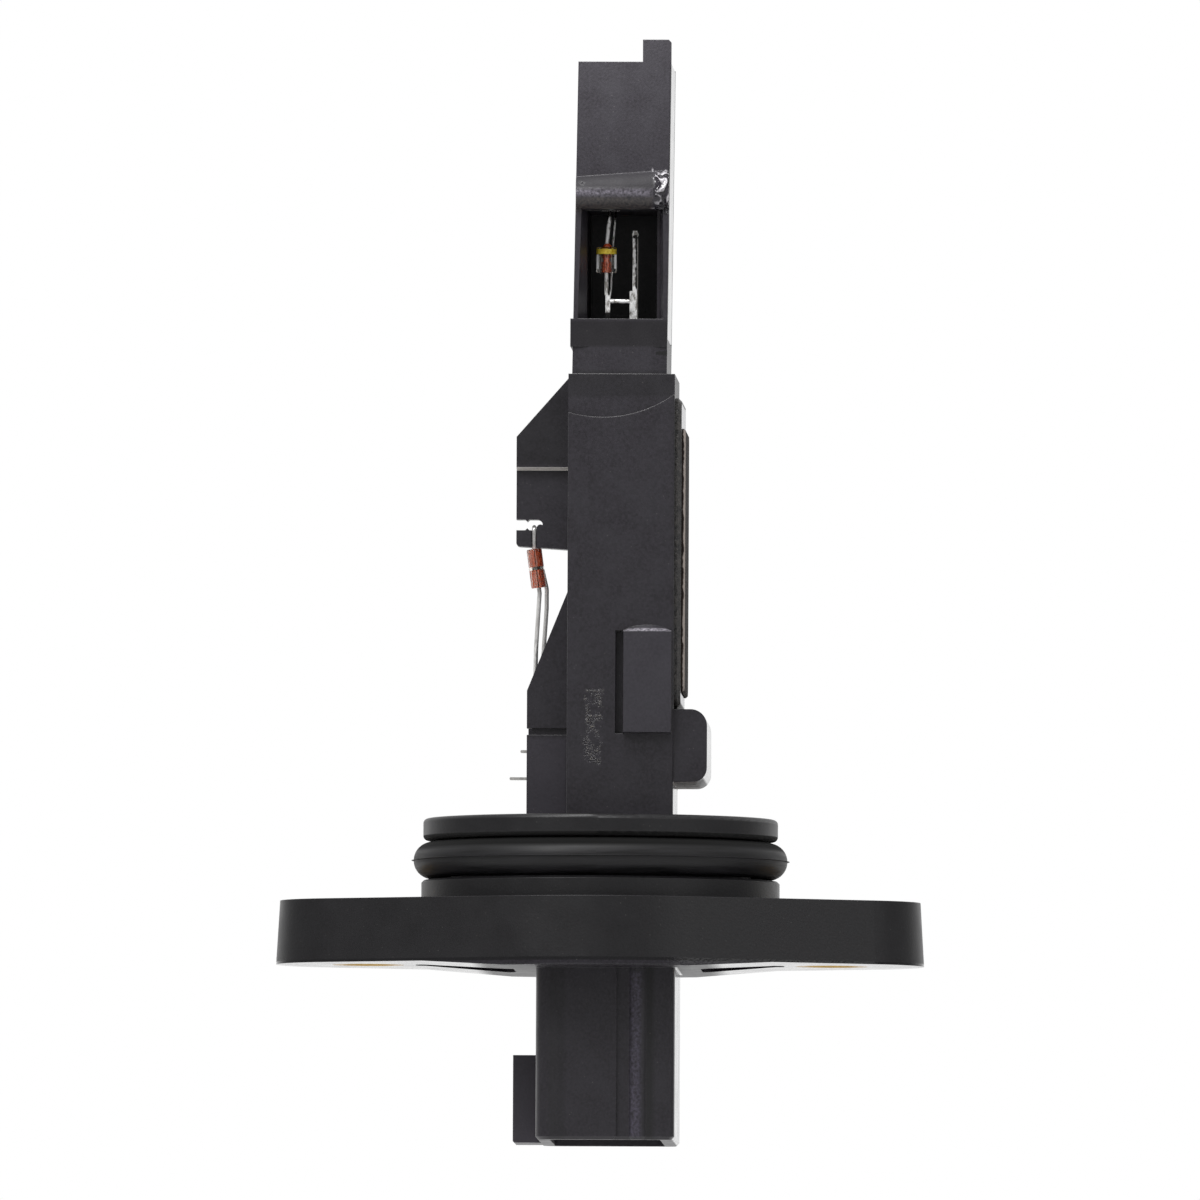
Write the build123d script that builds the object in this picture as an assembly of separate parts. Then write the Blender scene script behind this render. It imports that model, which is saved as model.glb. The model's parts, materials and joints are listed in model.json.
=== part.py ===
from build123d import *
import math
import os

# Plug-in mass airflow sensor, in millimetres.
# +Z runs up the probe to its tip, +X across its thin side and +Y along the air flow.
# The origin lies between the two screw holes, on the face that seats on the duct.

# Flange: two screw lugs either side of the connector
flange_thickness = 6.2
flange_centre_radius = 19.4
flange_lug_radius = 8.6
screw_spacing = 45.0
flange_draft = 3.4
bush_outer_radius = 3.5
bush_hole_radius = 2.3
bush_chamfer = 0.3
pocket_depth = 2.5
pocket_gap = 2.3
pocket_wall = 1.1
pocket_wide_half = 5.7
pocket_narrow_half = 1.4
pocket_corner = 0.8
crown_drop = 0.5
crown_half_width = 9.0
crown_slope_width = 8.0

# Spigot that fills the duct's bore, with the seal between collar and disc
collar_radius = 17.4
collar_height = 2.0
groove_radius = 14.6
groove_width = 3.9
disc_radius = 17.22
disc_thickness = 2.1
spigot_edge = 0.45
seal_section = 3.55

# Probe arm: circuit housing below, measuring passage above
arm_left = -3.1
arm_right = 7.22
arm_depth = 20.0
arm_top = 50.9
arm_edge = 0.2
head_depth = 19.2
head_left_bottom = -2.75
head_left_top = -2.28
head_right_bottom = 6.42
head_right_top = 6.72
head_top = 81.2
head_edge = 0.12

# Measuring passage: in at the front window, up the riser and out through the back
window_bottom = 56.25
window_top = 66.9
window_left_bottom = -2.3
window_left_top = -1.95
window_right_bottom = 6.12
window_right_top = 6.02
passage_left = -1.4
passage_right = 5.4
mouth_depth = 2.6
mouth_lead = 0.2
rear_wall = 1.6
riser_width = 4.6
riser_top = 78.8
outlet_bottom = 70.6
cover_fit = 0.05
cover_bottom = 54.4
cover_edge = 0.15

# Tab that stands above the tip
tab_left = 3.97
tab_height = 2.15
tab_thickness = 1.5
tab_edge = 0.25

# Rounded lip over the window
lip_left_height = 3.1
lip_right_height = 3.8
lip_reach = 1.35
lip_crown_share = 0.42
lip_inset = 0.04

# Sill below the window and the scalloped step on the arm's face
sill_band = 0.2
sill_step_height = 53.55
sill_step_depth = 0.3
sill_step_left = -0.9
sill_step_right = 4.92
scallop_depth = 0.3
scallop_shift = 0.42
scallop_left_height = 47.2
scallop_middle_height = 46.75
scallop_right_height = 49.1

# Pad on the arm's face and rounded rib on its right side
pad_left = 2.32
pad_bottom = 16.0
pad_top = 26.0
pad_crown = 0.55
pad_face_crown = 0.08
pad_height = 1.0
pad_side_slope = 0.06
pad_end_slope = 0.12
pad_groove_width = 0.72
pad_groove_depth = 1.1
rib_bottom = 11.35
rib_top = 18.4
rib_reach = 3.27
rib_radius_top = 1.6
rib_radius_bottom = 1.35
rib_depth = 19.4

# Upper wing, which the air thermistor hangs from
wing_left = -8.3
wing_top = 51.0
wing_shoulder = 45.1
wing_step = 41.9
wing_bottom_left = 34.5
wing_bottom_right = 34.15
wing_half = 1.2
wing_upper_half = 1.9
wing_corner = 0.35
wing_slope = 0.22
slot_bottom = 36.05
slot_height = 1.05
slot_end = -5.75
nib_place = -7.24
nib_height = 0.2
hook_radius = 0.38

# Lower wing, a guard in front of and behind the thermistor leads
guard_top = 30.4
guard_shoulder = 20.4
guard_left = -7.15
guard_front = -3.0
guard_back = 4.6
guard_wall = 1.5
guard_floor = 1.4
guard_groove_bottom = 16.1
guard_groove_height = 0.65
guard_groove_depth = 0.4
guard_notch_depth = 0.5

# Connector shroud with its socket, key rib and latch lug
plug_left = -5.95
plug_right = 7.55
plug_depth = 24.0
plug_end = -23.4
plug_corner_left = 2.2
plug_corner_right = 1.3
plug_wall = 1.4
plug_floor = -8.6
plug_edge = 0.3
key_step_place = 1.9
key_step_depth = 0.35
key_rib_place = 3.95
key_rib_radius = 1.1
latch_reach = 2.45
latch_top = -14.9
latch_centre = 4.0
latch_width = 8.0
latch_chamfer = 0.15

# Five terminals moulded into the housing, from connector pin to circuit pad
terminal_count = 5
terminal_pitch = 3.3
terminal_width = 1.2
terminal_thickness = 0.64
pin_tip = -18.6
pin_point = 0.9
terminal_jog = 9.5
bond_inset = 1.1

# Circuit chamber, open on the arm's right side
chamber_floor = 2.0
chamber_bottom = 20.6
chamber_top = 46.4
chamber_half_depth = 7.3
chamber_corner = 1.0
ledge_face = 3.4
lower_ledge = 5.0
upper_ledge = 3.6
base_plate_thickness = 1.0
base_plate_margin = 0.4
board_thickness = 0.64
board_margin = 0.9

# Covers over the chamber and the bead of sealant round them
plate_bottom = 19.1
plate_top = 48.1
plate_half_depth = 8.7
plate_thickness = 0.66
plate_corner = 1.2
sheet_thickness = 0.36
sheet_margin_side = 0.4
sheet_margin_bottom = 1.0
sheet_margin_top = 2.4
bead_width = 0.55
bead_slope = 0.34
bead_groove_depth = 0.5
bead_groove_width = 1.0
bead_groove_overlap = 0.25

# Air thermistor: glass tube, two studs and a chip
thermistor_x = -6.34
thermistor_y = -0.65
thermistor_middle = 32.35
thermistor_tilt = 7.5
thermistor_length = 3.8
thermistor_radius = 0.74
thermistor_bore = 0.52
thermistor_chip = 0.3
glass_rounding = 0.15
chip_share = 0.8
lead_diameter = 0.42
lead_clearance = 0.12
lead_rise = 0.5
lead_tight_bend = 0.4
lead_wide_bend = 1.4
lead_long_bend = 3.0
notch_fit = 0.04
prong_upper_tip = -7.85
prong_lower_tip = -8.92
prong_upper = 14.62
prong_lower = 12.02
prong_height = 0.28
prong_thickness = 0.4
prong_near_y = 0.9
prong_far_y = 1.9
prong_riser_x = 2.2
prong_point = 0.5

# Measuring element in the window, on its posts
element_x = 0.42
element_y = -5.0
element_bottom = 60.9
element_length = 2.5
element_radius = 1.0
element_bore = 0.36
element_chip = 0.35
element_lead_diameter = 0.38
element_lead_lean = 0.33
post_thickness = 0.5
post_width = 0.45
post_one_x = 0.57
post_one_top = 58.75
post_two_x = 3.15
post_two_y = -3.8
post_two_width = 0.7
post_two_neck_width = 0.42
post_two_step = 59.2
post_two_top = 65.05
post_three_y = 0.9
foot_height = 44.4
roof_strip_x = -1.95
roof_strip_y = -6.4
roof_strip_thickness = 0.35
roof_tab_end = 1.5
roof_tab_depth = 2.2
link_height = 58.15
link_diameter = 0.42
wire_bobbin_radius = 0.32
wire_bobbin_length = 2.2
wire_lead_radius = 0.12
wire_drop = 0.3

# Parts on the circuit board
bond_radius = 0.12
bond_rise = 0.9
bond_bend = 0.54
chip_width = 5.0
chip_thickness = 0.9
chip_y = -1.8
chip_shift = 2.6
transistor_width = 4.6
transistor_height = 4.0
transistor_thickness = 1.5
transistor_y = 2.2
transistor_shift = -4.4
capacitor_width = 1.25
capacitor_height = 1.6
capacitor_thickness = 0.8
capacitor_y = 4.4
capacitor_shift = 4.6
capacitor_pitch = 2.2
resistor_width = 0.8
resistor_height = 1.6
resistor_thickness = 0.5
resistor_y = -4.6
resistor_shift = -4.6
resistor_pitch = 2.0

# Places that follow from the sizes above
disc_bottom = collar_height + groove_width
disc_top = disc_bottom + disc_thickness
seal_centre_radius = groove_radius + seal_section / 2
seal_centre_height = collar_height + groove_width / 2
arm_front = -arm_depth / 2
head_front = -head_depth / 2
plug_middle = (plug_left + plug_right) / 2
lower_ledge_top = chamber_bottom + lower_ledge
base_plate_bottom = lower_ledge_top + base_plate_margin
base_plate_top = chamber_top - upper_ledge - base_plate_margin
board_back = chamber_floor + base_plate_thickness
board_face = board_back + board_thickness
board_bottom = lower_ledge_top + board_margin
board_top = chamber_top - upper_ledge - board_margin
cover_half_depth = head_depth / 2 - rear_wall
plate_face = arm_right + plate_thickness
lead_radius = lead_diameter / 2
post_two_face = post_two_x + post_two_neck_width / 2
post_two_near = post_two_face - post_two_width
post_two_middle = post_two_face - post_two_width / 2
crown_bottom = flange_thickness + crown_drop
notch_x = thermistor_x - thermistor_length / 2 * math.sin(math.radians(thermistor_tilt))


def block(x0, x1, y0, y1, z0, z1):
    """A box between two corners."""
    size = Box(abs(x1 - x0), abs(y1 - y0), abs(z1 - z0))
    return Pos((x0 + x1) / 2, (y0 + y1) / 2, (z0 + z1) / 2) * size


def upright_block(x0, x1, y0, y1, z0, z1, radius):
    """A box whose four vertical edges are rounded."""
    body = block(x0, x1, y0, y1, z0, z1)
    return fillet(body.edges().filter_by(Axis.Z), radius)


def slab(profile, y0, y1):
    """A profile drawn in X and Z, given thickness from y0 to y1."""
    return extrude(Plane.XZ.offset(-y0) * profile, amount=y1 - y0, dir=(0, 1, 0))


def side_plate(x0, x1, half_depth, z0, z1, radius):
    """A plate facing +X with rounded corners."""
    outline = RectangleRounded(2 * half_depth, z1 - z0, radius)
    plane = Plane(origin=(x0, 0, (z0 + z1) / 2), x_dir=(0, 1, 0), z_dir=(1, 0, 0))
    return extrude(plane * outline, amount=x1 - x0)


def strip(points, thickness, y_middle, width):
    """Flat metal strip that turns square corners, from points in X and Z."""
    half = thickness / 2
    body = None
    for (x0, z0), (x1, z1) in zip(points, points[1:]):
        run = block(
            min(x0, x1) - half,
            max(x0, x1) + half,
            y_middle - width / 2,
            y_middle + width / 2,
            min(z0, z1) - half,
            max(z0, z1) + half,
        )
        body = run if body is None else body + run
    return body


def rod(start, end, radius):
    """A straight round wire between two points."""
    plane = Plane(origin=start, z_dir=Vector(*end) - Vector(*start))
    length = (Vector(*end) - Vector(*start)).length
    return extrude(plane * Circle(radius), amount=length)


def bent_wire(points, bends, radius):
    """A round wire along straight runs joined by arcs."""
    path = FilletPolyline(*points, radius=bends)
    plane = Plane(origin=points[0], z_dir=Vector(*points[1]) - Vector(*points[0]))
    return sweep(plane * Circle(radius), path=path)


def flange_outline():
    """Rounded diamond round the spigot and the two screw lugs."""
    lug_x = screw_spacing / 2
    edges = Circle(flange_centre_radius).edges()
    edges += (Pos(-lug_x, 0) * Circle(flange_lug_radius)).edges()
    edges += (Pos(lug_x, 0) * Circle(flange_lug_radius)).edges()
    return make_hull(edges)


def underside_pocket(side):
    """Hollow between the connector and one screw lug that evens out the wall."""
    plug_side = plug_right if side > 0 else -plug_left
    inner = side * (plug_side + pocket_gap)
    outer = side * (screw_spacing / 2 - bush_outer_radius - pocket_wall)
    outline = Polygon(
        (inner, -pocket_wide_half),
        (outer, -pocket_narrow_half),
        (outer, pocket_narrow_half),
        (inner, pocket_wide_half),
        align=None,
    )
    outline = fillet(outline.vertices(), pocket_corner)
    depth = pocket_depth + crown_drop
    return extrude(Pos(0, 0, -crown_bottom) * outline, amount=depth, dir=(0, 0, 1))


def crown_profile():
    """Side view of the flange, thicker round the connector than at the lugs."""
    end = screw_spacing
    slope_end = crown_half_width + crown_slope_width
    return Polygon(
        (-end, 0),
        (-end, -flange_thickness),
        (-slope_end, -flange_thickness),
        (-crown_half_width, -crown_bottom),
        (crown_half_width, -crown_bottom),
        (slope_end, -flange_thickness),
        (end, -flange_thickness),
        (end, 0),
        align=None,
    )


def flange():
    body = extrude(flange_outline(), amount=-crown_bottom, taper=-flange_draft)
    body &= slab(crown_profile(), -2 * flange_centre_radius, 2 * flange_centre_radius)
    for side in (-1, 1):
        body -= underside_pocket(side)
        hole = Cylinder(bush_outer_radius, 3 * flange_thickness)
        body -= Pos(side * screw_spacing / 2, 0, 0) * hole
    return body


def spigot():
    """Collar, seal groove and disc, turned in one profile."""
    profile = Polyline(
        (0, -flange_thickness / 2),
        (groove_radius, -flange_thickness / 2),
        (groove_radius, 0),
        (collar_radius, 0),
        (collar_radius, collar_height),
        (groove_radius, collar_height),
        (groove_radius, disc_bottom),
        (disc_radius, disc_bottom),
        (disc_radius, disc_top),
        (0, disc_top),
        close=True,
    )
    body = revolve(Plane.XZ * make_face(profile), axis=Axis.Z)
    rims = body.edges().filter_by(GeomType.CIRCLE)
    body = fillet([e for e in rims if abs(e.radius - disc_radius) < spigot_edge / 10], spigot_edge)
    collar_rims = [
        e
        for e in body.edges().filter_by(GeomType.CIRCLE)
        if abs(e.radius - collar_radius) < spigot_edge / 10 and e.center().Z > collar_height / 2
    ]
    return chamfer(collar_rims, spigot_edge / 2)


def arm():
    """Lower part of the probe, which holds the circuit."""
    return upright_block(
        arm_left, arm_right, arm_front, -arm_front, disc_top - spigot_edge, arm_top, arm_edge
    )


def head_sides(height):
    """Left and right face of the probe's upper part, which tapers towards the tip."""
    share = (height - arm_top) / (head_top - arm_top)
    left = head_left_bottom + share * (head_left_top - head_left_bottom)
    right = head_right_bottom + share * (head_right_top - head_right_bottom)
    return left, right


def head_section(height):
    left, right = head_sides(height)
    outline = RectangleRounded(right - left, head_depth, head_edge)
    return Pos((left + right) / 2, 0, height) * outline


def head():
    return loft([head_section(arm_top - arm_edge), head_section(head_top)])


def tip_tab():
    """Tab above the tip, flush with the head's front wall."""
    tip = head_top + tab_height
    profile = Polygon(
        (tab_left, head_top),
        (head_right_top, head_top),
        (head_right_top, tip - tab_edge),
        (head_right_top - tab_edge, tip),
        (tab_left, tip),
        align=None,
    )
    return slab(profile, head_front, head_front + tab_thickness)


def sill_rim():
    """Low band on the head's left side, under the window."""
    return upright_block(
        head_left_bottom - sill_band,
        arm_right / 2,
        head_front,
        -head_front,
        sill_step_height,
        window_bottom,
        head_edge,
    )


def lip_profile(x, height):
    """Half-round section of the lip at one end of the window."""
    crease = (x, head_front, window_top + height)
    crown = (x, head_front - lip_reach, window_top + height * lip_crown_share)
    foot = (x, head_front, window_top)
    anchor_low = (x, head_front + lip_reach / 4, window_top)
    anchor_high = (x, head_front + lip_reach / 4, window_top + height)
    outline = [
        ThreePointArc(crease, crown, foot),
        Line(foot, anchor_low),
        Line(anchor_low, anchor_high),
        Line(anchor_high, crease),
    ]
    return make_face(outline)


def lip():
    """Rolled lip over the window, deeper at its right end."""
    left, right = head_sides(window_top + lip_left_height)
    left_end = lip_profile(left, lip_left_height)
    right_end = lip_profile(right - lip_inset, lip_right_height)
    return loft([left_end, right_end])


def passage():
    """Air path: flared mouth, straight channel, riser and outlet."""
    wide = Polygon(
        (window_left_bottom, window_bottom),
        (window_right_bottom, window_bottom),
        (window_right_top, window_top),
        (window_left_top, window_top),
        align=None,
    )
    narrow = Polygon(
        (passage_left, window_bottom),
        (passage_right, window_bottom),
        (passage_right, window_top),
        (passage_left, window_top),
        align=None,
    )
    front = Plane.XZ.offset(-head_front + mouth_lead) * wide
    mouth = loft([front, Plane.XZ.offset(-head_front - mouth_depth) * narrow])
    back = cover_half_depth
    channel = block(
        passage_left, passage_right, head_front + mouth_depth, back, window_bottom, window_top
    )
    riser = block(passage_left, passage_right, back - riser_width, back, window_top, riser_top)
    outlet = block(passage_left, passage_right, back, head_depth, outlet_bottom, riser_top)
    return mouth + channel + riser + outlet


def cover_recess():
    """Side opening of the passage, which the passage cover closes."""
    return block(
        passage_right,
        arm_right,
        -cover_half_depth - cover_fit,
        cover_half_depth + cover_fit,
        cover_bottom - cover_fit,
        head_top + tab_height,
    )


def sill_cuts():
    """Two steps below the window that run out towards the sill's middle."""
    cuts = None
    for outer, inner in ((arm_left, sill_step_left), (arm_right, sill_step_right)):
        outline = Polygon(
            (outer, head_front - sill_step_depth),
            (outer, head_front + sill_step_depth),
            (inner, head_front),
            (inner, head_front - sill_step_depth),
            align=None,
        )
        height = sill_step_height - arm_top
        wedge = extrude(Pos(0, 0, arm_top) * outline, amount=height, dir=(0, 0, 1))
        cuts = wedge if cuts is None else cuts + wedge
    return cuts


def scallop_cut():
    """Shallow recess above a curved step across the arm's face."""
    left = (arm_left - arm_edge, scallop_left_height)
    middle = ((arm_left + arm_right) / 2 - scallop_shift, scallop_middle_height)
    right = (arm_right + arm_edge, scallop_right_height)
    top_left = (left[0], arm_top + arm_edge)
    top_right = (right[0], arm_top + arm_edge)
    outline = make_face(
        [
            ThreePointArc(left, middle, right),
            Line(right, top_right),
            Line(top_right, top_left),
            Line(top_left, left),
        ]
    )
    return slab(outline, arm_front - scallop_depth, arm_front + scallop_depth)


def face_pad():
    """Raised pad on the arm's face, with a bevel along its top that is widest in the middle."""
    base = arm_front + arm_edge
    face_right = arm_right - arm_edge
    top = pad_top - pad_end_slope

    def outline(left, low, high, y, rise):
        corners = [(left, low), (face_right, low), (face_right, high), (left, high)]
        crown = ((left + face_right) / 2, high + rise)
        profile = make_face(
            [
                Line(corners[0], corners[1]),
                Line(corners[1], corners[2]),
                ThreePointArc(corners[2], crown, corners[3]),
                Line(corners[3], corners[0]),
            ]
        )
        return Plane.XZ.offset(-y) * profile

    low = pad_bottom + pad_end_slope
    wide = outline(pad_left, pad_bottom, pad_top, arm_front, pad_crown)
    narrow = outline(pad_left + pad_side_slope, low, top, arm_front - pad_height, pad_face_crown)
    root = extrude(outline(pad_left, pad_bottom, pad_top, base, pad_crown), amount=arm_edge)
    return loft([wide, narrow]) + root


def pad_groove():
    """Groove in the arm's face along the pad's left side."""
    return block(
        pad_left - pad_groove_width,
        pad_left,
        arm_front - pad_height,
        arm_front + pad_groove_depth,
        pad_bottom,
        pad_top,
    )


def side_rib():
    """Rounded rib across the arm's right side, below the circuit cover."""
    body = block(
        arm_right - arm_edge, arm_right + rib_reach, -rib_depth / 2, rib_depth / 2, rib_bottom, rib_top
    )
    outer = body.edges().filter_by(Axis.Y).sort_by(Axis.X)[-2:].sort_by(Axis.Z)
    body = fillet([outer[-1]], rib_radius_top)
    lower = body.edges().filter_by(Axis.Y).sort_by(Axis.Z)
    lower = [e for e in lower if e.center().X > arm_right + rib_reach - rib_radius_top / 10]
    return fillet([lower[0]], rib_radius_bottom)


def upper_wing():
    """Flat wing on the arm's left side, with a slot and a hook that the thermistor hangs from."""
    inner = arm_left + arm_edge
    outline = Polygon(
        (inner, wing_top),
        (arm_left, wing_top),
        (wing_left, wing_shoulder),
        (wing_left, wing_bottom_left),
        (inner, wing_bottom_right),
        align=None,
    )
    corners = [v for v in outline.vertices() if v.X < wing_left + wing_corner / 10]
    thin = slab(fillet(corners, wing_corner), -wing_half, wing_half)
    upper = Polygon(
        (inner, wing_top),
        (arm_left, wing_top),
        (wing_left, wing_shoulder),
        (wing_left, wing_step),
        (inner, wing_step),
        align=None,
    )
    return thin + (slab(upper, -wing_upper_half, wing_upper_half) - wing_slopes())


def wing_slopes():
    """Wedges cut from under the wing's thick part, front and back, so that its step slopes."""
    profile = Polygon(
        (wing_half, wing_step),
        (wing_upper_half, wing_step),
        (wing_upper_half, wing_step + wing_slope),
        align=None,
    )
    length = arm_left - wing_left
    back = extrude(Plane.YZ.offset(wing_left) * profile, amount=length, dir=(1, 0, 0))
    return back + mirror(back, about=Plane.XZ)


def hook_slot():
    """Slot for the thermistor lead: in from the side, past two nibs and round the hook."""
    slot_top = slot_bottom + slot_height
    entry = block(
        wing_left - wing_corner,
        slot_end - slot_height / 2,
        -wing_upper_half,
        wing_upper_half,
        slot_bottom,
        slot_top,
    )
    end = Pos(slot_end - slot_height / 2, 0, slot_top - slot_height / 2)
    entry += end * Rot(90, 0, 0) * Cylinder(slot_height / 2, 2 * wing_upper_half)
    for height, tip in ((slot_bottom, 1), (slot_top, -1)):
        nib = Polygon(
            (nib_place - nib_height, height),
            (nib_place, height + tip * nib_height),
            (nib_place + nib_height, height),
            align=None,
        )
        entry -= slab(nib, -wing_upper_half, wing_upper_half)
    half_notch = lead_radius + notch_fit
    hook = Pos(notch_x + half_notch + hook_radius, 0, slot_bottom + hook_radius / 2)
    entry -= hook * Rot(90, 0, 0) * Cylinder(hook_radius, 2 * wing_upper_half)
    notch = block(
        notch_x - half_notch,
        notch_x + half_notch,
        -wing_half - wing_corner,
        thermistor_y + half_notch,
        wing_bottom_right - wing_corner,
        slot_bottom,
    )
    return entry + notch


def guard_outline():
    """Side view of the lower wing, with its sloping edge."""
    return Polygon(
        (arm_left + arm_edge, guard_top),
        (arm_left, guard_top),
        (guard_left, guard_shoulder),
        (guard_left, disc_top - spigot_edge),
        (arm_left + arm_edge, disc_top - spigot_edge),
        align=None,
    )


def lower_wing():
    """Two walls and a floor round the thermistor leads and their terminals."""
    front = slab(guard_outline(), guard_front, guard_front + guard_wall)
    back = slab(guard_outline(), guard_back - guard_wall, guard_back)
    floor = block(
        guard_left,
        arm_left + arm_edge,
        guard_front,
        guard_back,
        disc_top - spigot_edge,
        disc_top + guard_floor,
    )
    groove_top = guard_groove_bottom + guard_groove_height
    groove = block(
        guard_left - guard_wall,
        arm_left,
        guard_front - guard_wall,
        guard_front + guard_groove_depth,
        guard_groove_bottom,
        groove_top,
    )
    notch = block(
        guard_left - guard_wall,
        guard_left + guard_notch_depth,
        guard_front - guard_wall,
        guard_front + guard_wall,
        guard_groove_bottom,
        groove_top,
    )
    return front + back + floor - groove - notch


def plug_outline(inset):
    """Connector's cross-section, drawn in by the given wall."""
    width = plug_right - plug_left - 2 * inset
    outline = Rectangle(width, plug_depth - 2 * inset)
    left = [v for v in outline.vertices() if v.X < 0]
    right_radius = max(plug_corner_right - inset, plug_corner_right / 4)
    left_radius = max(plug_corner_left - inset, plug_corner_left / 4)
    outline = fillet(left, left_radius)
    right = [v for v in outline.vertices() if v.X > width / 2 - right_radius / 10]
    return Pos(plug_middle, 0) * fillet(right, right_radius)


def connector():
    """Shroud with its key rib and latch lug, before the socket is cut."""
    body = extrude(Pos(0, 0, plug_end) * plug_outline(0), amount=-plug_end - flange_thickness / 2)
    front = -plug_depth / 2
    body -= block(
        key_step_place,
        plug_right + plug_corner_right,
        front - key_step_depth,
        front + key_step_depth,
        plug_end,
        -flange_thickness,
    )
    rib_length = -plug_end - flange_thickness
    rib = Pos(key_rib_place, front + key_rib_radius, (plug_end - flange_thickness) / 2)
    body += rib * Cylinder(key_rib_radius, rib_length)
    mouth = body.faces().sort_by(Axis.Z)[0]
    body = chamfer(mouth.outer_wire().edges(), plug_edge)
    lug = block(
        plug_left - latch_reach,
        plug_left + plug_wall,
        latch_centre - latch_width / 2,
        latch_centre + latch_width / 2,
        plug_end,
        latch_top,
    )
    tip_edges = [e for e in lug.edges().filter_by(Axis.Y) if e.center().X < plug_left]
    lug = chamfer([sorted(tip_edges, key=lambda e: e.center().Z)[0]], latch_chamfer)
    return body + lug


def socket():
    """Hollow of the connector that the mating plug goes into."""
    return extrude(Pos(0, 0, plug_end) * plug_outline(plug_wall), amount=plug_floor - plug_end)


def chamber():
    """Circuit chamber with a raised ledge at each end for the terminal pads."""
    whole = side_plate(
        chamber_floor,
        arm_right + rib_reach,
        chamber_half_depth,
        chamber_bottom,
        chamber_top,
        chamber_corner,
    )
    low = block(
        chamber_floor,
        ledge_face,
        -chamber_half_depth,
        chamber_half_depth,
        chamber_bottom,
        lower_ledge_top,
    )
    high = block(
        chamber_floor,
        ledge_face,
        -chamber_half_depth,
        chamber_half_depth,
        chamber_top - upper_ledge,
        chamber_top,
    )
    return whole - low - high


def bead_groove():
    """Groove round the chamber that the sealant fills."""
    reach = bead_groove_overlap
    inset = reach - bead_groove_width
    rings = []
    for grow in (reach, inset):
        ring = side_plate(
            arm_right - bead_groove_depth,
            arm_right,
            plate_half_depth + grow,
            plate_bottom - grow,
            plate_top + grow,
            plate_corner + grow,
        )
        rings.append(ring)
    return rings[0] - rings[1]


def terminal(index):
    """Connector pin, strip through the flange and pad on the chamber's ledge, bent from one strip."""
    y = (index - (terminal_count - 1) / 2) * terminal_pitch
    pad_x = ledge_face - terminal_thickness / 2
    path = [
        (plug_middle, pin_tip + pin_point),
        (plug_middle, terminal_jog),
        (pad_x, terminal_jog),
        (pad_x, lower_ledge_top - terminal_thickness / 2),
    ]
    body = strip(path, terminal_thickness, y, terminal_width)
    tip = body.faces().sort_by(Axis.Z)[0]
    return chamfer(tip.edges(), terminal_thickness / 4)


def thermistor_terminal(end, height, y):
    """Prong that a thermistor lead is welded to, bent up to a pad on the ledge."""
    half = prong_height / 2
    top = lower_ledge_top - prong_height
    path = [(end + half, height), (prong_riser_x, height), (prong_riser_x, top)]
    path.append((ledge_face - half, top))
    body = strip(path, prong_height, y + prong_thickness / 2, prong_thickness)
    tip = body.faces().sort_by(Axis.X)[0]
    edges = tip.edges().filter_by(Axis.Y)
    return chamfer(edges, prong_height / 2 * prong_point)


def post_one():
    """Short post under the measuring element, with a foot that ends on the upper ledge."""
    half = post_width / 2
    path = [(post_one_x, post_one_top - half), (post_one_x, foot_height)]
    path.append((ledge_face - half, foot_height))
    return strip(path, post_width, element_y, post_thickness)


def post_two():
    """Tall post with a narrow neck."""
    half = post_two_width / 2
    path = [(post_two_middle, post_two_step - half), (post_two_middle, foot_height)]
    path.append((ledge_face - half, foot_height))
    body = strip(path, post_two_width, post_two_y, post_thickness)
    neck = block(
        post_two_x - post_two_neck_width / 2,
        post_two_x + post_two_neck_width / 2,
        post_two_y - post_thickness / 2,
        post_two_y + post_thickness / 2,
        post_two_step - post_thickness,
        post_two_top,
    )
    return body + neck


def post_three():
    """Post behind the tall one, at the far end of the measuring wire."""
    half = post_two_neck_width / 2
    path = [(post_two_x, post_two_top - half), (post_two_x, foot_height)]
    path.append((ledge_face - half, foot_height))
    return strip(path, post_two_neck_width, post_three_y, post_thickness)


def roof_strip():
    """Strip inside the passage's left wall that carries the element's upper lead."""
    half = roof_strip_thickness / 2
    path = [
        (roof_tab_end, window_top + half),
        (roof_strip_x, window_top + half),
        (roof_strip_x, foot_height),
        (ledge_face - half, foot_height),
    ]
    body = strip(path, roof_strip_thickness, roof_strip_y, post_thickness)
    tab = block(
        element_x - post_width,
        roof_tab_end + half,
        roof_strip_y - post_thickness / 2,
        roof_strip_y + roof_tab_depth,
        window_top,
        window_top + roof_strip_thickness,
    )
    return body + tab


def moulded_metal():
    """Every terminal, post and strip that the housing is moulded round."""
    pieces = {}
    for index in range(terminal_count):
        pieces["connector_terminal_" + str(index + 1)] = terminal(index)
    pieces["thermistor_terminal_upper"] = thermistor_terminal(
        prong_upper_tip, prong_upper, prong_near_y
    )
    pieces["thermistor_terminal_lower"] = thermistor_terminal(
        prong_lower_tip, prong_lower, prong_far_y
    )
    pieces["element_post_short"] = post_one()
    pieces["element_post_tall"] = post_two()
    pieces["element_post_rear"] = post_three()
    pieces["element_roof_strip"] = roof_strip()
    return pieces


def housing(metal):
    body = flange() + spigot() + connector()
    body += arm() + head() + lip()
    body += tip_tab() + sill_rim()
    body += upper_wing() + lower_wing()
    body += face_pad() + side_rib()
    body -= passage() + cover_recess()
    body -= sill_cuts() + pad_groove()
    body -= scallop_cut()
    body -= hook_slot()
    body -= socket()
    body -= chamber()
    body -= bead_groove()
    for piece in metal.values():
        body -= piece
    return body


def seal():
    """Round rubber ring in the spigot's groove."""
    return Pos(0, 0, seal_centre_height) * Torus(seal_centre_radius, seal_section / 2)


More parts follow.
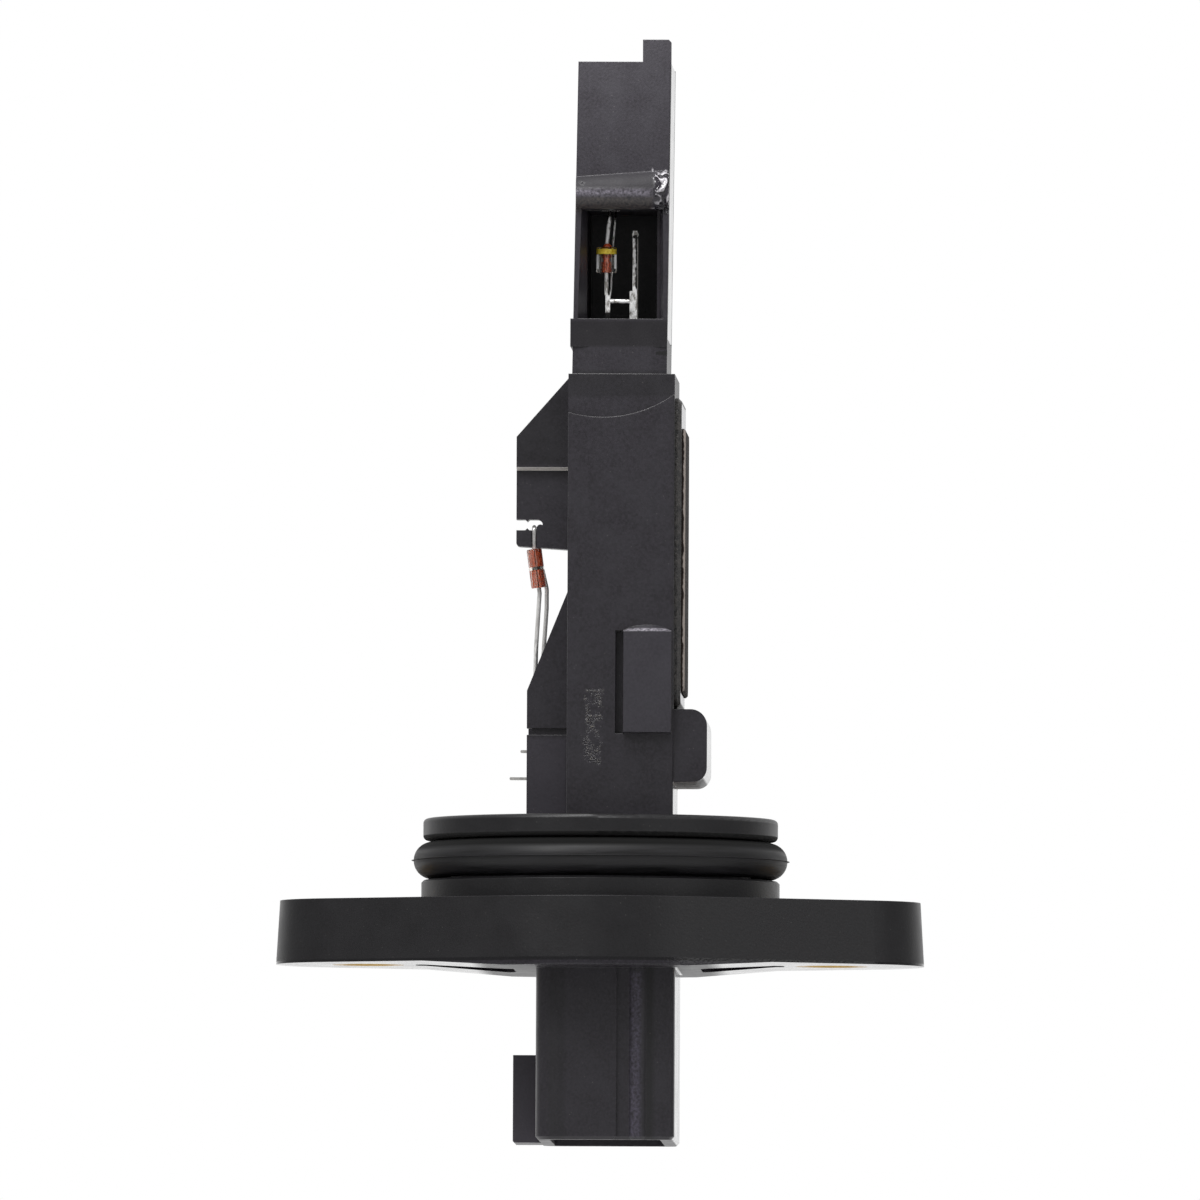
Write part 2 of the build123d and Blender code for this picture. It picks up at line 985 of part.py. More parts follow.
def bush(side):
    """Metal sleeve in one screw hole."""
    body = Cylinder(bush_outer_radius, flange_thickness) - Cylinder(bush_hole_radius, flange_thickness)
    middle_radius = (bush_outer_radius + bush_hole_radius) / 2
    rims = [e for e in body.edges().filter_by(GeomType.CIRCLE) if e.radius < middle_radius]
    body = chamfer(rims, bush_chamfer)
    return Pos(side * screw_spacing / 2, 0, -flange_thickness / 2) * body


def passage_cover():
    """Moulded plate that closes the passage from its side."""
    low_right = head_sides(cover_bottom)[1]
    profile = Polygon(
        (passage_right, cover_bottom),
        (low_right, cover_bottom),
        (head_right_top, head_top),
        (passage_right, head_top),
        align=None,
    )
    body = slab(profile, -cover_half_depth, cover_half_depth)
    outer = body.faces().sort_by(Axis.X)[-1]
    return chamfer(outer.edges(), cover_edge)


def cover_plate():
    """Bright metal plate over the circuit chamber."""
    return side_plate(arm_right, plate_face, plate_half_depth, plate_bottom, plate_top, plate_corner)


def cover_sheet():
    """Dark sheet bonded on the metal plate."""
    body = side_plate(
        plate_face,
        plate_face + sheet_thickness,
        plate_half_depth - sheet_margin_side,
        plate_bottom + sheet_margin_bottom,
        plate_top - sheet_margin_top,
        plate_corner,
    )
    outer = body.faces().sort_by(Axis.X)[-1]
    return chamfer(outer.edges(), sheet_thickness / 2)


def sealant_bead():
    """Sealant in the groove and squeezed out round the plate's edge."""
    groove = bead_groove()
    outer = side_plate(
        arm_right,
        plate_face,
        plate_half_depth + bead_width,
        plate_bottom - bead_width,
        plate_top + bead_width,
        plate_corner + bead_width,
    )
    rim = outer.faces().sort_by(Axis.X)[-1]
    outer = chamfer(rim.edges(), bead_slope)
    return groove + (outer - cover_plate())


def base_plate():
    """Metal plate under the circuit board that carries its heat away."""
    return side_plate(
        chamber_floor,
        board_back,
        chamber_half_depth - base_plate_margin,
        base_plate_bottom,
        base_plate_top,
        chamber_corner / 2,
    )


def circuit_board():
    return side_plate(
        board_back,
        board_face,
        chamber_half_depth - board_margin,
        board_bottom,
        board_top,
        chamber_corner / 4,
    )


def chip(y, z, width, height, thickness):
    """A component on the circuit board."""
    return block(
        board_face,
        board_face + thickness,
        y - width / 2,
        y + width / 2,
        z - height / 2,
        z + height / 2,
    )


def board_parts():
    """Components, each at its place on the board."""
    middle = (board_bottom + board_top) / 2
    pieces = {
        "control_chip": chip(chip_y, middle + chip_shift, chip_width, chip_width, chip_thickness),
        "power_transistor": chip(
            transistor_y,
            middle + transistor_shift,
            transistor_width,
            transistor_height,
            transistor_thickness,
        ),
    }
    for index in range(3):
        z = middle + capacitor_shift - capacitor_pitch * index
        body = chip(capacitor_y, z, capacitor_width, capacitor_height, capacitor_thickness)
        pieces["capacitor_" + str(index + 1)] = body
    for index in range(3):
        y = resistor_y + resistor_pitch * index
        z = middle + resistor_shift
        body = chip(y, z, resistor_width, resistor_height, resistor_thickness)
        pieces["resistor_" + str(index + 1)] = body
    return pieces


def bond_wires():
    """Fine loops from the ledge pads to the board, as one group."""
    low_y = [(index - (terminal_count - 1) / 2) * terminal_pitch for index in range(terminal_count)]
    high_y = [roof_strip_y, element_y, post_two_y, post_three_y]
    wires = []
    for y in low_y:
        wires.append(bond_loop(ledge_face, y, lower_ledge_top - bond_inset, board_bottom + bond_rise))
    for y in high_y:
        wires.append(bond_loop(ledge_face, y, foot_height, board_top - bond_rise))
    return Compound(children=wires)


def bond_loop(pad_x, y, pad_z, board_z):
    """One bond wire, from a pad on a ledge to the board."""
    start = (pad_x, y, pad_z)
    over_pad = (board_face + bond_rise, y, pad_z)
    over_board = (board_face + bond_rise, y, board_z)
    end = (board_face, y, board_z)
    return bent_wire([start, over_pad, over_board, end], [bond_bend, bond_bend], bond_radius)


def glass_part(length, radius, bore, chip_length, place):
    """Glass tube with a stud in each end and a chip between them."""
    stud_length = (length - chip_length) / 2
    tube = Cylinder(radius, length) - Cylinder(bore, length)
    rims = [e for e in tube.edges().filter_by(GeomType.CIRCLE) if e.radius > (radius + bore) / 2]
    tube = fillet(rims, glass_rounding)
    shift = (length - stud_length) / 2
    upper = Pos(0, 0, shift) * Cylinder(bore, stud_length)
    lower = Pos(0, 0, -shift) * Cylinder(bore, stud_length)
    middle = Cylinder(bore * chip_share, chip_length)
    return [place * piece for piece in (tube, upper, lower, middle)]


def thermistor():
    place = Pos(thermistor_x, thermistor_y, thermistor_middle) * Rot(0, -thermistor_tilt, 0)
    pieces = glass_part(thermistor_length, thermistor_radius, thermistor_bore, thermistor_chip, place)
    names = ("thermistor_glass", "thermistor_stud_upper", "thermistor_stud_lower", "thermistor_chip")
    return dict(zip(names, pieces))


def thermistor_end(side):
    """Centre of one end face of the tilted thermistor."""
    angle = math.radians(thermistor_tilt)
    half = side * thermistor_length / 2
    across = thermistor_x - half * math.sin(angle)
    return (across, thermistor_y, thermistor_middle + half * math.cos(angle))


def thermistor_leads():
    """The upper lead goes over the hook and back down behind the wing; both end on the prongs."""
    top = thermistor_end(1)
    bottom = thermistor_end(-1)
    tilt = math.radians(thermistor_tilt)
    rise = lead_rise
    behind = wing_half + lead_radius + lead_clearance
    near = prong_near_y + prong_thickness + lead_radius
    far = prong_far_y + prong_thickness + lead_radius
    crest = slot_bottom + lead_radius + lead_clearance
    beside = thermistor_x + thermistor_radius + lead_radius
    below = beside - lead_diameter
    upper = bent_wire(
        [
            top,
            (notch_x - rise * math.sin(tilt) / 2, thermistor_y, top[2] + rise * math.cos(tilt)),
            (notch_x, thermistor_y, crest),
            (notch_x, behind, crest),
            (thermistor_x, behind, wing_bottom_left),
            (beside, near, thermistor_middle - thermistor_length / 2),
            (beside, near - lead_clearance, thermistor_middle - thermistor_length),
            (below, near, prong_upper + 2 * thermistor_length),
            (below, near, prong_upper),
        ],
        [lead_tight_bend] * 3 + [lead_wide_bend] * 3 + [lead_long_bend],
        lead_radius,
    )
    lower = bent_wire(
        [
            bottom,
            (bottom[0] + rise * math.sin(tilt), thermistor_y, bottom[2] - rise * math.cos(tilt)),
            (thermistor_x, thermistor_y, thermistor_middle - 2 * thermistor_length),
            (thermistor_x - lead_radius, far, prong_upper + thermistor_length),
            (thermistor_x - lead_radius, far, prong_lower),
        ],
        [lead_tight_bend, lead_long_bend, lead_long_bend],
        lead_radius,
    )
    return {"thermistor_lead_upper": upper, "thermistor_lead_lower": lower}


def measuring_element():
    middle = element_bottom + element_length / 2
    place = Pos(element_x, element_y, middle)
    pieces = glass_part(element_length, element_radius, element_bore, element_chip, place)
    names = ("element_glass", "element_stud_upper", "element_stud_lower", "element_chip")
    parts = dict(zip(names, pieces))
    radius = element_lead_diameter / 2
    top = (element_x, element_y, element_bottom + element_length)
    roof = (element_x + element_lead_lean, element_y, window_top)
    parts["element_lead_upper"] = rod(top, roof, radius)
    parts["element_lead_lower"] = rod(
        (element_x, element_y, post_one_top), (element_x, element_y, element_bottom), radius
    )
    parts["element_link"] = rod(
        (post_one_x + post_width / 2, element_y, link_height),
        (post_two_near, element_y, link_height),
        link_diameter / 2,
    )
    return parts


def measuring_wire():
    """Fine wire and its bobbin between the tall post and the one behind it."""
    height = post_two_top - wire_drop
    front = post_two_y + post_thickness / 2
    back = post_three_y - post_thickness / 2
    middle = (front + back) / 2
    wire = rod((post_two_x, front, height), (post_two_x, back, height), wire_lead_radius)
    bobbin = rod(
        (post_two_x, middle - wire_bobbin_length / 2, height),
        (post_two_x, middle + wire_bobbin_length / 2, height),
        wire_bobbin_radius,
    )
    return wire + bobbin


def all_parts():
    metal = moulded_metal()
    parts = {"housing": housing(metal)}
    parts.update(metal)
    parts["seal_ring"] = seal()
    parts["mounting_bush_left"] = bush(-1)
    parts["mounting_bush_right"] = bush(1)
    parts["passage_cover"] = passage_cover()
    parts["cover_plate"] = cover_plate()
    parts["cover_sheet"] = cover_sheet()
    parts["sealant_bead"] = sealant_bead()
    parts["base_plate"] = base_plate()
    parts["circuit_board"] = circuit_board()
    parts.update(board_parts())
    parts["bond_wires"] = bond_wires()
    parts.update(thermistor())
    parts.update(thermistor_leads())
    parts.update(measuring_element())
    parts["measuring_wire"] = measuring_wire()
    return parts


os.makedirs("parts", exist_ok=True)
for name, shape in all_parts().items():
    export_step(shape, "parts/" + name + ".step")
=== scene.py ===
import json
import math

import bmesh
import bpy
from mathutils import Matrix, Quaternion, Vector


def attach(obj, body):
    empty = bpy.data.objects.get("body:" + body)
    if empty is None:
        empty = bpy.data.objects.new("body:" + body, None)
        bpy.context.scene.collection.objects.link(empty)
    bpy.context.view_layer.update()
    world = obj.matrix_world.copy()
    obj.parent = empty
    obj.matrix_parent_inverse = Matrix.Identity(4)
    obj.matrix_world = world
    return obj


# A plug-in mass airflow sensor: a slim black probe on a screw flange, with its plug below.
# +Z runs up the probe, +X to the circuit cover's side and +Y along the air flow. Lengths are metres, and
# millimetres where a name ends in _mm or _MM and in the tables of places.

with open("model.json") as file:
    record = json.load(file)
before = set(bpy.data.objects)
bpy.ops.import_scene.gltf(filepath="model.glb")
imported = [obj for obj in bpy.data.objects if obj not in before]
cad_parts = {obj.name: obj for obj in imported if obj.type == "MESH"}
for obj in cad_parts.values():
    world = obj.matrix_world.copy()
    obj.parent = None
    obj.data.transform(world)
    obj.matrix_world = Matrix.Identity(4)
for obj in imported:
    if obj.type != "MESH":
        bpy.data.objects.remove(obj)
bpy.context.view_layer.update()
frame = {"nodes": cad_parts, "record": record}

MM = 0.001

# seal ring: radius of its outside, and height of its middle over the flange
SEAL_OUTSIDE_MM = 18.15
SEAL_MIDDLE_MM = 3.95

# A noise texture keeps mostly within one of these ranges, which is stretched to the full one.
SOFT = {"From Min": 0.3, "From Max": 0.7}
CRISP = {"From Min": 0.35, "From Max": 0.65}

# The mix node has several sockets of each name, so they go by number: the share, the two values, the result.
SHARE = 0
NUMBER_1, NUMBER_2 = 2, 3
COLOUR_1, COLOUR_2, MIXED_COLOUR = 6, 7, 2


def linear(hex_colour):
    """An sRGB hex colour as linear red, green, blue and alpha."""
    parts = [int(hex_colour[i:i + 2], 16) / 255 for i in (1, 3, 5)]
    return [c / 12.92 if c <= 0.04045 else ((c + 0.055) / 1.055) ** 2.4 for c in parts] + [1.0]


def add(tree, kind, settings, output=0):
    """Adds a node and returns one of its outputs. A setting is a link, a socket's value or a property."""
    node = tree.nodes.new(kind)
    for name, value in settings.items():
        if isinstance(value, bpy.types.NodeSocket):
            tree.links.new(value, node.inputs[name])
        elif isinstance(name, int) or name in node.inputs:
            node.inputs[name].default_value = value
        else:
            setattr(node, name, value)
    return node.outputs[output]


def new_material(name):
    """An empty material, its node tree and the place of each point on the piece."""
    material = bpy.data.materials.new(name)
    material.use_nodes = True
    tree = material.node_tree
    tree.nodes.clear()
    return material, tree, add(tree, "ShaderNodeTexCoord", {}, "Object")


def add_output(tree, shader):
    """Joins a shader to the material's output."""
    output = tree.nodes.new("ShaderNodeOutputMaterial")
    tree.links.new(shader, output.inputs["Surface"])


def grains(size_mm):
    """How many grains of that size go into a metre, which is what a texture's scale asks for."""
    return 1 / (size_mm * MM)


def patch(tree, here, low_mm, high_mm, soft_mm, ragged=None):
    """1 inside a box of the piece, fading to 0 at its rim over soft_mm. A noise makes the rim ragged."""
    middle = [(a + b) / 2 * MM for a, b in zip(low_mm, high_mm)]
    half = [(b - a) / 2 * MM for a, b in zip(low_mm, high_mm)]
    away = add(tree, "ShaderNodeVectorMath", {"operation": "SUBTRACT", 0: here, 1: middle})
    away = add(tree, "ShaderNodeVectorMath", {"operation": "ABSOLUTE", 0: away})
    away = add(tree, "ShaderNodeVectorMath", {"operation": "SUBTRACT", 0: away, 1: half})
    parts = add(tree, "ShaderNodeSeparateXYZ", {"Vector": away}, "X").node.outputs
    outside = add(tree, "ShaderNodeMath", {"operation": "MAXIMUM", 0: parts["X"], 1: parts["Y"]})
    outside = add(tree, "ShaderNodeMath", {"operation": "MAXIMUM", 0: outside, 1: parts["Z"]})
    if ragged is not None:
        shift = add(tree, "ShaderNodeMapRange",
                    {"Value": ragged, **CRISP, "To Min": -soft_mm * MM, "To Max": soft_mm * MM})
        outside = add(tree, "ShaderNodeMath", {"operation": "ADD", 0: outside, 1: shift})
    return add(tree, "ShaderNodeMapRange", {"Value": outside, "From Min": 0.0, "From Max": -soft_mm * MM})


def edge_wear_and_highlight(tree, rounded, most):
    """0 on a flat face, rising to most at its edges, where the rounded normal turns from the plain one."""
    plain = add(tree, "ShaderNodeNewGeometry", {}, "Normal")
    same = add(tree, "ShaderNodeVectorMath", {"operation": "DOT_PRODUCT", 0: rounded, 1: plain}, "Value")
    return add(tree, "ShaderNodeMapRange",
               {"Value": same, "From Min": 0.998, "From Max": 0.90, "To Max": most})


# Places on the moulding that differ from the rest, several of them painted light or shade: two corners of a box
# round each, how far its rim fades, whether it is even, ragged or speckled, the shade it takes, how much of it,
# and how much duller the place is.
moulding_places = (
    # flange, and the spigot above it: painted shade, darker than the probe above them
    ((-40.0, -25.0, -6.3), (40.0, 25.0, 0.02), 0.1, "even", "#060607", 0.75, 0.0),
    ((-18.0, -18.0, 0.0), (18.0, 18.0, 8.1), 0.1, "even", "#060607", 0.75, 0.02),
    # lower rim of the spigot's disc: painted shadow, black in the disc's shade, and dull enough to hide its
    # facets
    ((-18.0, -18.0, 5.8), (18.0, 18.0, 6.36), 0.1, "even", "#010101", 1.0, 0.5),
    # smooth sill below the window, a dent in it whose shade is painted black, and painted shade on the recessed
    # face above the scalloped step
    ((-3.4, -11.2, 53.4), (6.9, -9.2, 56.2), 0.3, "even", "#0b080d", 0.85, 0.04),
    ((5.3, -11.2, 52.72), (7.1, -9.2, 53.12), 0.08, "ragged", "#020202", 0.9, 0.1),
    ((-3.4, -11.2, 48.4), (7.4, -9.2, 51.4), 0.7, "even", "#070708", 0.6, 0.0),
    # flaking skin under the rib
    ((7.0, -9.5, 11.1), (9.9, 9.8, 11.45), 0.1, "speckled", "#d8c5be", 1.0, 0.2),
    # lip: painted shade on the dull shoulder, a painted highlight along the speckled crown, and a brownish
    # underside lightened as painted light from below
    ((-2.9, -12.0, 68.7), (5.3, -9.7, 70.9), 0.35, "even", "#100d13", 0.9, 0.36),
    ((-2.9, -12.0, 67.9), (5.1, -9.4, 68.9), 0.45, "speckled", "#7f7a85", 0.6, 0.05),
    ((-2.9, -12.0, 66.4), (5.1, -9.0, 68.1), 0.3, "speckled", "#544d46", 0.5, 0.1),
    # pad, and a painted highlight on the crescent at its top
    ((2.3, -11.3, 15.9), (7.3, -10.2, 26.7), 0.1, "even", "#4a4850", 0.22, 0.0),
    ((2.2, -11.5, 25.85), (7.3, -10.2, 26.25), 0.12, "speckled", "#b4afb9", 0.8, -0.1),
    # painted highlight on the step of the upper wing, and painted shade on the face above it
    ((-8.5, -2.4, 41.84), (-3.15, -1.0, 42.16), 0.03, "even", "#dad5d0", 0.95, -0.1),
    ((-8.5, -2.4, 42.2), (-3.15, -1.0, 51.3), 0.3, "even", "#070708", 0.45, 0.0),
    # painted light on the lower wing's foot and on the latch lug, lighter than the rest
    ((-7.4, -3.4, 8.0), (-3.15, -2.5, 16.0), 0.6, "even", "#45414a", 0.5, 0.0),
    ((-8.6, -1.0, -23.6), (-5.9, 9.0, -14.8), 0.2, "even", "#45414a", 0.5, 0.0),
    # plug: painted highlight on the key rib, painted shade beside it and on the turn of its left corner
    ((3.05, -12.4, -23.4), (4.45, -11.0, -7.0), 0.4, "speckled", "#5c5668", 0.5, -0.03),
    ((4.45, -12.4, -23.6), (5.75, -11.0, -6.2), 0.5, "even", "#040405", 0.75, 0.1),
    ((-4.9, -12.4, -23.6), (-2.9, -11.0, -6.2), 0.8, "even", "#040405", 0.7, 0.08),
)

# Faces with more gloss than the rest: two corners of a box round each, and how far its rim fades.
glossy_places = (
    # right sides of the rib, of the arm below it and of the plug
    ((6.9, -9.4, 11.7), (12.5, 10.5, 19.0), 0.15),
    ((6.9, -9.4, 7.8), (7.5, 10.5, 11.3), 0.1),
    ((7.25, -11.6, -23.6), (7.8, 11.6, -6.1), 0.1),
    # underside of the flange
    ((-40.0, -25.0, -6.6), (40.0, 25.0, -5.9), 0.1),
)
MORE_GLOSS = -0.28


def glass_filled_polyester():
    """Black polyester with short glass fibre, moulded against an eroded tool: satin, faintly purple, with a
    grain of about 0.3 mm, clouds where fibre lies near the skin, pale specks of dust and painted glints,
    painted light and shade in places, and glossy torn spots at the lip's ends."""
    material, tree, here = new_material("glass_filled_polyester")
    grain = add(tree, "ShaderNodeTexNoise",
                {"Vector": here, "Scale": grains(0.26), "Detail": 2.0, "Roughness": 0.6})
    clouds = add(tree, "ShaderNodeTexNoise",
                 {"Vector": here, "Scale": grains(3.4), "Detail": 4.0, "Roughness": 0.6})
    ragged = add(tree, "ShaderNodeTexNoise",
                 {"Vector": here, "Scale": grains(0.8), "Detail": 3.0, "Roughness": 0.6})
    upright = add(tree, "ShaderNodeMapping", {"Vector": here, "Scale": (1.0, 1.0, 0.45)})
    shreds = add(tree, "ShaderNodeTexNoise",
                 {"Vector": upright, "Scale": grains(0.8), "Detail": 1.5, "Roughness": 0.5,
                  "Distortion": 1.0})
    rounded = add(tree, "ShaderNodeBevel", {"Radius": 0.08 * MM, "samples": 6})

    # colour and gloss: two near blacks by grain, clouds, the places that differ with their painted light and
    # shade, and specks of dust and painted glints
    shade = add(tree, "ShaderNodeMapRange", {"Value": grain, **SOFT})
    cloudy = add(tree, "ShaderNodeMapRange", {"Value": clouds, **CRISP, "To Max": 0.55})
    body = add(tree, "ShaderNodeMix",
               {"data_type": "RGBA", SHARE: shade, COLOUR_1: linear("#19171b"), COLOUR_2: linear("#2a272d")},
               MIXED_COLOUR)
    body = add(tree, "ShaderNodeMix",
               {"data_type": "RGBA", SHARE: cloudy, COLOUR_1: body, COLOUR_2: linear("#26242a")},
               MIXED_COLOUR)
    rough = add(tree, "ShaderNodeMapRange", {"Value": clouds, **SOFT, "To Min": 0.34, "To Max": 0.42})
    for low, high, soft, rim, hex_colour, share, duller in moulding_places:
        place = patch(tree, here, low, high, soft, ragged if rim == "ragged" else None)
        if rim == "speckled":
            place = add(tree, "ShaderNodeMath", {"operation": "MULTIPLY", 0: place, 1: shade})
        tinted = add(tree, "ShaderNodeMath", {"operation": "MULTIPLY", 0: place, 1: share})
        body = add(tree, "ShaderNodeMix",
                   {"data_type": "RGBA", SHARE: tinted, COLOUR_1: body, COLOUR_2: linear(hex_colour)},
                   MIXED_COLOUR)
        rough = add(tree, "ShaderNodeMath", {"operation": "MULTIPLY_ADD", 0: place, 1: duller, 2: rough})
    for low, high, soft in glossy_places:
        place = patch(tree, here, low, high, soft)
        rough = add(tree, "ShaderNodeMath", {"operation": "MULTIPLY_ADD", 0: place, 1: MORE_GLOSS, 2: rough})
    specks = add(tree, "ShaderNodeTexVoronoi", {"Vector": here, "Scale": grains(0.75)}, "Distance")
    specks = add(tree, "ShaderNodeMapRange",
                 {"Value": specks, "From Min": 0.09, "From Max": 0.03, "To Max": 0.35})
    specks = add(tree, "ShaderNodeMath", {"operation": "MULTIPLY", 0: specks, 1: cloudy})
    body = add(tree, "ShaderNodeMix",
               {"data_type": "RGBA", SHARE: specks, COLOUR_1: body, COLOUR_2: linear("#8f8b86")},
               MIXED_COLOUR)

    # edges: painted highlight, and wear from handling
    edge = edge_wear_and_highlight(tree, rounded, 0.15)
    edge = add(tree, "ShaderNodeMath", {"operation": "MULTIPLY", 0: edge, 1: shade})
    body = add(tree, "ShaderNodeMix",
               {"data_type": "RGBA", SHARE: edge, COLOUR_1: body, COLOUR_2: linear("#56504f")}, MIXED_COLOUR)

    # torn ends of the lip, its scuffed roll, and a band of worn-out tool marks low on the arm's face
    torn = patch(tree, here, (5.0, -11.6, 66.2), (7.0, -9.0, 70.8), 0.4, ragged)
    nicked = patch(tree, here, (-3.1, -11.4, 67.5), (-1.9, -9.2, 69.3), 0.5, ragged)
    scuffed = patch(tree, here, (-2.9, -12.0, 66.0), (6.9, -9.4, 71.0), 0.6)
    marks = patch(tree, here, (-1.45, -10.2, 13.2), (0.3, -9.8, 20.4), 0.4, ragged)
    chips = add(tree, "ShaderNodeMath", {"operation": "MAXIMUM", 0: nicked, 1: marks})
    pits = add(tree, "ShaderNodeTexNoise",
               {"Vector": here, "Scale": grains(0.2), "Detail": 2.0, "Roughness": 0.6})
    # pale flecks in the tool marks: painted glints
    flecks = add(tree, "ShaderNodeMapRange",
                 {"Value": pits, "From Min": 0.57, "From Max": 0.66, "To Max": 0.38})
    flecks = add(tree, "ShaderNodeMath", {"operation": "MULTIPLY", 0: flecks, 1: marks})
    body = add(tree, "ShaderNodeMix",
               {"data_type": "RGBA", SHARE: flecks, COLOUR_1: body, COLOUR_2: linear("#c9c1b3")},
               MIXED_COLOUR)

    # painted reflection: white flecks on the torn plastic, for the glints of its torn facets
    white = add(tree, "ShaderNodeMapRange",
                {"Value": shreds, "From Min": 0.55, "From Max": 0.68, "To Max": 0.55})
    white = add(tree, "ShaderNodeMath", {"operation": "MULTIPLY", 0: white, 1: torn})
    body = add(tree, "ShaderNodeMix",
               {"data_type": "RGBA", SHARE: white, COLOUR_1: body, COLOUR_2: linear("#e6e3e8")}, MIXED_COLOUR)

    # relief: grain everywhere, deeper on the roll, pits and shreds where the skin is damaged and glossy
    depth = add(tree, "ShaderNodeMapRange", {"Value": scuffed, "To Min": 0.35, "To Max": 1.0})
    normal = add(tree, "ShaderNodeBump",
                 {"Height": grain, "Distance": 0.035 * MM, "Strength": depth, "Normal": rounded})
    normal = add(tree, "ShaderNodeBump",
                 {"Height": pits, "Distance": 0.30 * MM, "Strength": chips, "Normal": normal})
    normal = add(tree, "ShaderNodeBump",
                 {"Height": shreds, "Distance": 1.1 * MM, "Strength": torn, "Normal": normal})
    damage = add(tree, "ShaderNodeMath", {"operation": "MAXIMUM", 0: torn, 1: chips})
    rough = add(tree, "ShaderNodeMix", {"data_type": "FLOAT", SHARE: damage, NUMBER_1: rough, NUMBER_2: 0.14})
    add_output(tree, add(tree, "ShaderNodeBsdfPrincipled",
                         {"Base Color": body, "Roughness": rough, "Normal": normal, "IOR": 1.5}))
    return material


def cover_polyester():
    """The same polyester without grain, for the pressed cover: darker, and smooth enough to mirror the room
    where it is seen from the side."""
    material, tree, here = new_material("cover_polyester")
    clouds = add(tree, "ShaderNodeTexNoise",
                 {"Vector": here, "Scale": grains(1.8), "Detail": 4.0, "Roughness": 0.6})
    rounded = add(tree, "ShaderNodeBevel", {"Radius": 0.10 * MM, "samples": 6})
    shade = add(tree, "ShaderNodeMapRange", {"Value": clouds, **CRISP})
    body = add(tree, "ShaderNodeMix",
               {"data_type": "RGBA", SHARE: shade, COLOUR_1: linear("#1b191c"), COLOUR_2: linear("#262328")},
               MIXED_COLOUR)
    rough = add(tree, "ShaderNodeMapRange", {"Value": clouds, **SOFT, "To Min": 0.07, "To Max": 0.14})
    normal = add(tree, "ShaderNodeBump",
                 {"Height": clouds, "Distance": 0.01 * MM, "Strength": 0.3, "Normal": rounded})
    add_output(tree, add(tree, "ShaderNodeBsdfPrincipled",
                         {"Base Color": body, "Roughness": rough, "Normal": normal, "IOR": 1.5}))
    return material


def phenolic_paper():
    """Pressed phenolic paper, for the sheet on the metal cover: brown black and dull, with a painted highlight
    along its outer edge.
    """
    material, tree, here = new_material("phenolic_paper")
    fibre = add(tree, "ShaderNodeTexNoise",
                {"Vector": here, "Scale": grains(0.5), "Detail": 4.0, "Roughness": 0.65})
    frayed = add(tree, "ShaderNodeTexNoise",
                 {"Vector": here, "Scale": grains(1.2), "Detail": 3.0, "Roughness": 0.6})
    shade = add(tree, "ShaderNodeMapRange", {"Value": fibre, **CRISP})
    body = add(tree, "ShaderNodeMix",
               {"data_type": "RGBA", SHARE: shade, COLOUR_1: linear("#1c1715"), COLOUR_2: linear("#2a2320")},
               MIXED_COLOUR)
    # painted highlight along the sheet's outer edge
    edge_highlight = patch(tree, here, (8.04, -8.6, 17.0), (8.4, -7.4, 50.0), 0.08, frayed)
    body = add(tree, "ShaderNodeMix",
               {"data_type": "RGBA", SHARE: edge_highlight, COLOUR_1: body, COLOUR_2: linear("#9a918b")}, MIXED_COLOUR)
    rough = add(tree, "ShaderNodeMapRange", {"Value": fibre, **SOFT, "To Min": 0.7, "To Max": 0.85})
    normal = add(tree, "ShaderNodeBump", {"Height": fibre, "Distance": 0.02 * MM, "Strength": 0.5})
    add_output(tree, add(tree, "ShaderNodeBsdfPrincipled",
                         {"Base Color": body, "Roughness": rough, "Normal": normal, "IOR": 1.5,
                          "Specular IOR Level": 0.12}))
    return material


